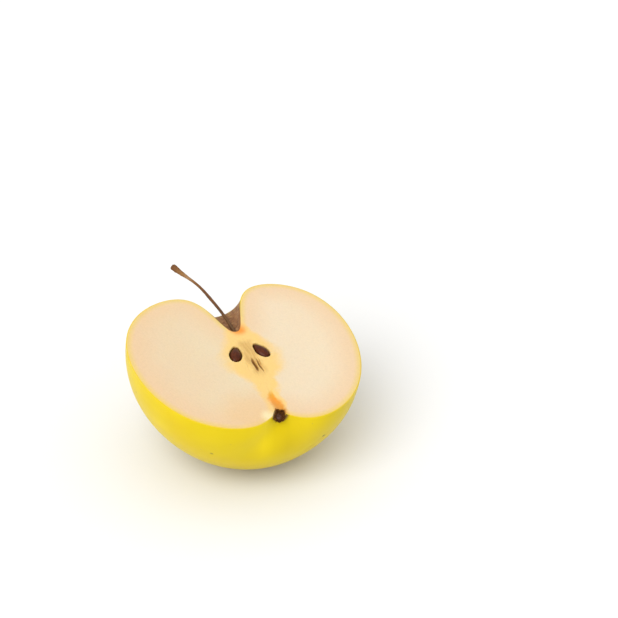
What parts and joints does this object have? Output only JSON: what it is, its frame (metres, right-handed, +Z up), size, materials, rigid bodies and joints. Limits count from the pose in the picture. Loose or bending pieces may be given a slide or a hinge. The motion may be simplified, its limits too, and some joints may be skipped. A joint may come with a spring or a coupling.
{
  "type": "apple half",
  "caption": "Half of a yellow apple, cut from stem to calyx, lying on its round back, with the stem, pips and dried calyx in place.",
  "frame": {"origin": "middle of the small flat spot on the round back that the half rests on", "axes": "+Z up, +Y along the core towards the stem, seen from above, and +X towards the right lobe"},
  "size_m": [0.075, 0.0756, 0.0459],
  "materials": {
    "yellow_apple_skin_and_flesh": "waxy yellow skin outside and moist cream flesh on the cut face",
    "apple_stem": "matt brown",
    "apple_pip": "smooth brown with a soft shine",
    "dried_calyx": "dry and papery"
  },
  "bodies": {
    "root": {"apple_half": "yellow_apple_skin_and_flesh", "stem": "apple_stem", "pip_left": "apple_pip", "pip_right": "apple_pip", "calyx": "dried_calyx"}
  },
  "joints": []
}
